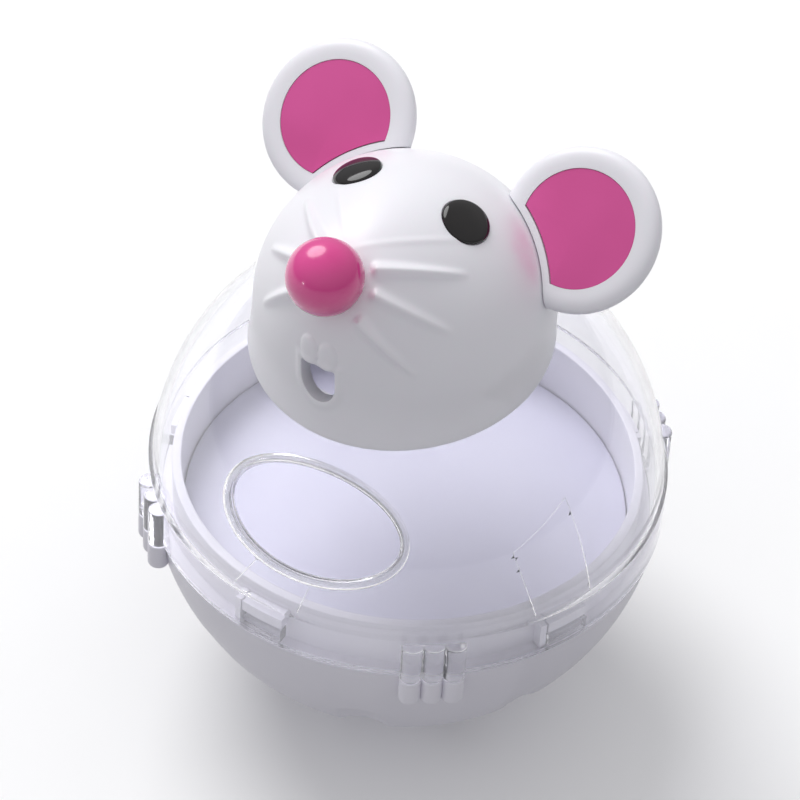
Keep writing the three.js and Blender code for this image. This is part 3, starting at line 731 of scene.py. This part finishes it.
def clear_dome():
    inner_r = BODY_R - DOME_WALL
    low = SEAM_Z + GAP
    shoulder = latitude_at(BODY_R, RIM_TOP - SEAM_DROP + SHOULDER_RISE)
    outer = rounded([
        (RIM_BORE_R, low), (RIM_R, low), (RIM_R, SEAM_Z + RIM_TOP),
        arc(BODY_R, BODY_Z, shoulder, 90, 1)[0],
    ], TURNED_EDGE)
    profile = [
        *outer,
        *arc(BODY_R, BODY_Z, shoulder, 90, 96)[1:],
        *arc(inner_r, BODY_Z, 90, latitude_at(inner_r, INNER_ARC_LOW), 90),
        (RIM_BORE_R, SEAM_Z + RIM_BORE_TOP), (RIM_BORE_R, SEAM_Z + RIM_BORE_LOW),
    ]
    rings = [ring(r, z, SEGMENTS) for r, z in profile]
    dome = solid(rings, looped=True)
    for angle in tab_angles:
        join(dome, sector(COLLAR_R + TAB_CLEARANCE, RIM_BORE_R + TAB_ROOT, SEAM_Z + DOME_TAB[0],
                          SEAM_Z + DOME_TAB[1], angle, TAB_SPAN))
    for angle in LUG_ANGLES:
        join(dome, lug(angle, low, SEAM_Z + LUG_TOP, 0.3, 0.7))
    for angle in screw_angles:
        top = NECK_SEAT + DOME_BOSS_HEIGHT
        join(dome, screw_rod(BOSS_R, NECK_SEAT, top, NECK_SCREW_R, angle, NECK, 0.3))
        cut(dome, screw_rod(SCREW_HOLE_R, NECK_SEAT - 2, NECK_BOSS_TOP, NECK_SCREW_R, angle, NECK))
    cut(dome, hole_cutter())
    return join(dome, hole_lip(), *(witness_line(points) for points in WITNESS_LINES))


def neck_plate():
    low, high = BODY_R + GAP, BODY_R + GAP + NECK_PLATE_THICKNESS
    rim = math.degrees(math.acos(NECK_PLATE_R / high))
    plate = turned([(0, NECK_SEAT), (NECK_PLATE_R, NECK_SEAT), *arc(high, 0, rim, 90, 20)], NECK, 128)
    for angle in screw_angles:
        join(plate, screw_rod(BOSS_R, NECK_SEAT + 1, NECK_BOSS_TOP, NECK_SCREW_R, angle, NECK))
    cut(plate, turned(arc(low, 0, -90, 90, 64), NECK, 128))
    for angle in screw_angles:
        top = NECK_BOSS_TOP - NECK_HOLE_SKIN
        cut(plate, screw_rod(SCREW_HOLE_R, low - 5, top, NECK_SCREW_R, angle, NECK))
    return plate


def screw(matrix, seat, tip):
    """A pan-head screw, head down, with a cross recess."""
    bottom = seat - SCREW_HEAD_H
    head = rounded([(0, bottom), (SCREW_HEAD_R, bottom), (SCREW_HEAD_R, seat)], SCREW_HEAD_ROUND)
    body = turned([
        *head, (SCREW_SHANK_R, seat), (SCREW_SHANK_R, tip - SCREW_POINT), (0, tip),
    ], matrix, 40)
    across, along = RECESS_HALF_WIDTH, RECESS_HALF_LENGTH
    corners = [(-along, -across), (along, -across), (along, across), (-along, across)]
    heights = (bottom + RECESS_START, bottom + RECESS_DEPTH)
    for turn in (0, 90):
        slot = Matrix.Rotation(math.radians(turn), 4, "Z")
        rings = [np.array([(x, y, z) for x, y in corners]) for z in heights]
        ends = [np.array([[0, 0, z]]) for z in heights]
        cut(body, solid([ends[0], *rings, ends[1]], matrix @ slot))
    return body


# ---- Head ----

def reach(degrees, snout=SNOUT_LENGTH):
    """Distance from the head's centre to its surface, at an angle off the snout."""
    return HEAD_R + snout * np.exp(-((degrees / SNOUT_SPREAD) ** 2))


def on_head(direction):
    unit = np.asarray(direction, float)
    unit = unit / np.linalg.norm(unit, axis=-1, keepdims=True)
    off = np.degrees(np.arccos(np.clip(unit[..., 2:3], -1, 1)))
    return unit * reach(off)


def distance_to_line(points, start, end):
    """Distance of each point from a line over the head, and how far along it the point is."""
    line = on_head(np.linspace(start, end, 25))
    best, along = np.full(len(points), 1e9), np.zeros(len(points))
    for i, (a, b) in enumerate(zip(line, line[1:])):
        t = np.clip(((points - a) @ (b - a)) / ((b - a) @ (b - a)), 0, 1)
        distance = np.linalg.norm(points - a - t[:, None] * (b - a), axis=1)
        nearer = distance < best
        best[nearer], along[nearer] = distance[nearer], (i + t[nearer]) / (len(line) - 1)
    return best, along


def local_to(place, points):
    inverse = np.array(facing(place, UPRIGHT).inverted())
    return points @ inverse[:3, :3].T + inverse[:3, 3]


def mouth_edge(across, up):
    """Signed distance outside the mouth's D shape, whose flat side is up."""
    box = np.maximum(np.abs(across) - MOUTH_HALF_WIDTH, up - MOUTH_TOP)
    bow = (np.hypot(across / MOUTH_HALF_WIDTH, up / MOUTH_BOTTOM) - 1) * MOUTH_HALF_WIDTH
    return np.where(up > 0, box, bow)


def face_relief(points):
    """How far the whisker ridges, teeth, mouth lip and brow crease stand out."""
    rise = np.zeros(len(points))
    for side in (1, -1):
        for start, end in WHISKERS:
            distance, along = distance_to_line(points, mirrored(start, side), mirrored(end, side))
            width = WHISKER_WIDTH * (1 - WHISKER_TAPER * along)
            fade = np.clip(along / WHISKER_START, 0, 1) * (1 - along**WHISKER_FADE)
            rise = np.maximum(rise, WHISKER_RISE * fade * np.exp(-((distance / width) ** 2)))
        local = local_to(mirrored(TOOTH_PLACE, side), points)
        off = np.hypot(local[:, 0] / TOOTH_HALF[0], local[:, 1] / TOOTH_HALF[1])
        tooth = TOOTH_RISE * np.sqrt(np.clip(1 - off**TOOTH_POWER, 0, 1))
        rise += np.where(local[:, 2] > FRONT_ONLY, tooth, 0)
        distance, along = distance_to_line(points, mirrored(CREASE[0], side), mirrored(CREASE[1], side))
        rise += CREASE_STEP * np.sin(math.pi * along) * np.exp(-((distance / CREASE_WIDTH) ** 2))
    local = local_to(Vector(MOUTH_PLACE), points)
    edge = mouth_edge(local[:, 0], local[:, 1])
    lip = LIP_RISE * np.exp(-(((edge - LIP_PLACE) / LIP_WIDTH) ** 2))
    return rise + np.where((local[:, 2] > FRONT_ONLY) & (edge > -2), lip, 0)


def skirt_rise(points):
    """How far the wall below the head's middle stands out from the ball."""
    tilt = math.radians(HEAD_TILT)
    height = points[:, 2] * math.sin(tilt) + points[:, 1] * math.cos(tilt)
    drop = np.clip(-height / np.linalg.norm(points, axis=1), 0, SKIRT_DEPTH)
    return SKIRT_FLARE * HEAD_R * (1 / np.sqrt(1 - drop**2) - 1)


def head_form(inset, snout, degrees, segments, relief=False):
    rings = []
    for off in degrees:
        angle = math.radians(off)
        radius = reach(off, snout) - inset
        if off in (0, 180):
            tip = np.array([[0.0, 0.0, radius * math.cos(angle)]])
            rings.append(tip * (1 + skirt_rise(tip) / radius)[:, None])
            continue
        points = ring(radius * math.sin(angle), radius * math.cos(angle), segments)
        rise = skirt_rise(points) + (face_relief(points) if relief else 0)
        points *= (1 + rise / radius)[:, None]
        rings.append(points)
    return solid(rings, HEAD)


def ball(radius, matrix, segments=128):
    return turned(arc(radius, 0, -90, 90, segments // 2), matrix, segments)


def peg(side, margin):
    place = Vector(mirrored(EAR_PLACE, side))
    turn = Vector((0, 0, 1)).rotation_difference(place.normalized()).to_matrix().to_4x4()
    matrix = HEAD @ Matrix.Translation((0, 0, -EAR_PEG_SETBACK)) @ turn
    return rod(EAR_PEG_R + margin, EAR_PEG_END - margin, place.length - EAR_PAD_R * PEG_OVERLAP, matrix)


def eye(side, margin=0.0):
    profile = [
        ((EYE_R + margin) * math.cos(a), (EYE_HALF_THICKNESS + margin) * math.sin(a))
        for a in np.linspace(-math.pi / 2, math.pi / 2, 41)
    ]
    profile[0], profile[-1] = (0, profile[0][1]), (0, profile[-1][1])
    return turned(profile, facing(mirrored(EYE_PLACE, side)), 96)


def nose(margin=0.0):
    radius, stem = NOSE_R + margin, NOSE_STEM_R + margin
    start = -math.degrees(math.acos(stem / radius))
    tail = -NOSE_STEM_LENGTH - margin
    profile = [
        *rounded([(0, tail), (stem, tail), (stem, radius * math.sin(math.radians(start)))], 0.4),
        *arc(radius, 0, start, 90, 60)[1:],
    ]
    return turned(profile, HEAD @ Matrix.Translation((0, 0, NOSE_FORWARD)), 128)


def mouth_cutter():
    corners = [(-MOUTH_HALF_WIDTH, 0), (-MOUTH_HALF_WIDTH, MOUTH_TOP),
               (MOUTH_HALF_WIDTH, MOUTH_TOP), (MOUTH_HALF_WIDTH, 0)]
    outline = rounded(corners, MOUTH_CORNER, 6)
    outline += [
        (MOUTH_HALF_WIDTH * math.cos(a), MOUTH_BOTTOM * math.sin(a))
        for a in np.linspace(0, -math.pi, 33)[1:-1]
    ]
    outline = np.array(outline)[::-1]
    depths = (-MOUTH_DEPTH / 2, MOUTH_DEPTH / 2)
    rings = [np.column_stack([outline, np.full(len(outline), z)]) for z in depths]
    ends = [np.array([[0, 0, z]]) for z in depths]
    return solid([ends[0], *rings, ends[1]], facing(MOUTH_PLACE))


def head_shell():
    outer = np.concatenate([np.linspace(180, 76, 44, endpoint=False), np.linspace(76, 0, 124)])
    shell = head_form(0, SNOUT_LENGTH, outer, SEGMENTS, relief=True)
    cut(
        shell,
        head_form(HEAD_WALL, INNER_SNOUT, np.linspace(180, 0, 61), 96),
        ball(BODY_R + GAP, BALL, 256),
        mouth_cutter(),
        nose(GAP),
    )
    for side in (1, -1):
        cut(shell, eye(side, GAP), peg(side, GAP))
    return shell


def ear_frame(side):
    return HEAD @ Matrix.Translation(mirrored(EAR_PLACE, side))


def ear(side):
    half = EAR_THICKNESS / 2
    flat = EAR_R - EAR_ROUND
    outer = [
        (flat + (EAR_R - flat) * t, half * (1 - t**EAR_POWER) ** (1 / EAR_POWER))
        for t in np.sin(np.linspace(0, math.pi / 2, 15))
    ]
    profile = [
        (0, -half),
        *[(r, -z) for r, z in outer],
        *outer[-2::-1],
        (0, half),
    ]
    disc = cut(turned(profile, ear_frame(side), 160), ball(HEAD_R + GAP, HEAD))
    dish = rod(EAR_PAD_R + GAP, half - EAR_RECESS, half + 3, ear_frame(side), segments=128)
    cut(dish, ball(HEAD_R + EAR_PAD_MARGIN - GAP, HEAD))
    return join(cut(disc, dish), peg(side, 0))


def ear_pad(side):
    low = EAR_THICKNESS / 2 - EAR_RECESS + GAP
    high = low + EAR_PAD_THICKNESS
    fit = EAR_PAD_R + GAP - PAD_FIT
    profile = rounded([(0, low), (fit, low), (fit, high), (0, high)], 0.2)
    pad = turned(profile, ear_frame(side), 128)
    return cut(pad, ball(HEAD_R + EAR_PAD_MARGIN, HEAD))


# ---- Assembly ----

white = head_white()
ear_plastic = ear_white()
steel = screw_steel()
clear = dome_clear()
pink = ear_pink()
black = eye_black()

finish_piece(base_bowl(), "bowl", "base", bowl_white(), ["base_bowl"])
finish_piece(counterweight(), "weight", "base", weight_iron(), ["counterweight"])
finish_piece(floor_plate(), "treat_floor", "base", floor_white(), ["floor_plate"])
finish_piece(clear_dome(), "dome", "upper", clear, ["clear_dome"])
finish_piece(neck_plate(), "neck", "upper", clear, ["neck_plate"])
for number, angle in enumerate(screw_angles, 1):
    below = Matrix.Translation(around(angle, BASE_SCREW_R))
    finish_piece(screw(below, BASE_SEAT_Z - GAP, BASE_SCREW_TIP), f"screw_base_{number}",
                 "base", steel, [f"base_screw_{number}"])
    inside = NECK @ Matrix.Translation(around(angle, NECK_SCREW_R))
    finish_piece(screw(inside, NECK_SEAT - GAP, NECK_BOSS_TOP - SCREW_TIP_GAP), f"screw_neck_{number}",
                 "upper", steel, [f"neck_screw_{number}"])
finish_piece(head_shell(), "head", "upper", white, ["head_shell"])
finish_piece(nose(), "snout_tip", "upper", nose_pink(), ["nose"])
for side, hand in ((1, "left"), (-1, "right")):
    finish_piece(eye(side), f"eyeball_{hand}", "upper", black, [f"eye_{hand}"])
    finish_piece(ear(side), f"ear_disc_{hand}", "upper", ear_plastic, [f"ear_{hand}"])
    finish_piece(ear_pad(side), f"ear_inlay_{hand}", "upper", pink, [f"ear_pad_{hand}"])


# ---- Stage, camera and light ----

AZIMUTH, ELEVATION, ROLL = 30.46, 43.23, 3.92
DISTANCE = 0.8549
SHIFT_RIGHT, SHIFT_UP = -0.00135, 0.0185
LENS, SENSOR = 180, 36
FLOOR_HALF = 4000.0
FLOOR_DROP = 0.2                # keeps the floor clear of the face that rests on it
WORLD_STRENGTH = 0.66
# Softboxes as (name, direction right-up-back, distance in metres, size in metres, watts)
SOFTBOXES = (
    ("key", (-0.3, 0.9, 0.15), 2.6, 1.9, 42.0),
    ("side", (-0.86, -0.22, 0.45), 1.0, 0.06, 0.25),
)


def camera_axes():
    a, e, r = (math.radians(v) for v in (AZIMUTH, ELEVATION, ROLL))
    back = Vector((math.sin(a) * math.cos(e), -math.cos(a) * math.cos(e), math.sin(e)))
    level = Vector((math.cos(a), math.sin(a), 0))
    upright = back.cross(level)
    right = level * math.cos(r) + upright * math.sin(r)
    up = upright * math.cos(r) - level * math.sin(r)
    return right, up, back


RIGHT, UP, BACK = camera_axes()
AIM = Vector((0, 0, SEAM_Z * MM))


def add_camera():
    data = bpy.data.cameras.new("camera")
    data.lens, data.sensor_width = LENS, SENSOR
    camera = bpy.data.objects.new("camera", data)
    bpy.context.scene.collection.objects.link(camera)
    matrix = Matrix((RIGHT, UP, BACK)).transposed().to_4x4()
    matrix.translation = AIM + BACK * DISTANCE + RIGHT * SHIFT_RIGHT + UP * SHIFT_UP
    camera.matrix_world = matrix
    bpy.context.scene.camera = camera


def add_softbox(name, direction, distance, size, watts):
    data = bpy.data.lights.new(name, "AREA")
    data.shape, data.size, data.energy = "DISK", size, watts
    light = bpy.data.objects.new(name, data)
    bpy.context.scene.collection.objects.link(light)
    towards = (RIGHT * direction[0] + UP * direction[1] + BACK * direction[2]).normalized()
    light.location = AIM + towards * distance
    light.rotation_mode = "QUATERNION"
    light.rotation_quaternion = towards.to_track_quat("Z", "Y")


def add_floor():
    signs = ((-1, -1), (1, -1), (1, 1), (-1, 1))
    corners = [(x * FLOOR_HALF * MM, y * FLOOR_HALF * MM, -FLOOR_DROP * MM) for x, y in signs]
    mesh = bpy.data.meshes.new("floor")
    mesh.from_pydata(corners, [], [(0, 1, 2, 3)])
    n = Nodes("floor_paper")
    n.base(n.mix(n.ramp(n.noise(3.0), 0.0, 1.0), (0.955, 0.955, 0.955), (0.945, 0.945, 0.945)))
    n.rough(n.ramp(n.noise(40.0), 0.8, 0.95))
    n.bump(n.noise(900.0), 0.05, 0.0001)
    mesh.materials.append(n.material)
    floor = bpy.data.objects.new("floor", mesh)
    bpy.context.scene.collection.objects.link(floor)
    # The floor throws no light back on the toy, so that its underside stays in shade.
    floor.visible_diffuse = False


def add_world():
    world = bpy.data.worlds.new("studio")
    world.use_nodes = True
    tree = world.node_tree
    background = tree.nodes["Background"]
    place = tree.nodes.new("ShaderNodeTexCoord")
    split = tree.nodes.new("ShaderNodeSeparateXYZ")
    tree.links.new(place.outputs["Generated"], split.inputs[0])
    ramp = tree.nodes.new("ShaderNodeValToRGB")
    tree.links.new(split.outputs["Z"], ramp.inputs["Fac"])
    tree.links.new(ramp.outputs["Color"], background.inputs["Color"])
    bands = ((0.0, (0.50, 0.50, 0.53)), (0.15, (0.72, 0.72, 0.74)), (0.5, (0.98, 0.98, 1.0)))
    for (place_at, colour), stop in zip(bands, (*ramp.color_ramp.elements, None)):
        stop = stop or ramp.color_ramp.elements.new(place_at)
        stop.position, stop.color = place_at, (*colour, 1)
    background.inputs["Strength"].default_value = WORLD_STRENGTH
    bpy.context.scene.world = world


add_camera()
add_floor()
add_world()
for softbox in SOFTBOXES:
    add_softbox(*softbox)
bpy.context.scene.view_settings.view_transform = "Standard"
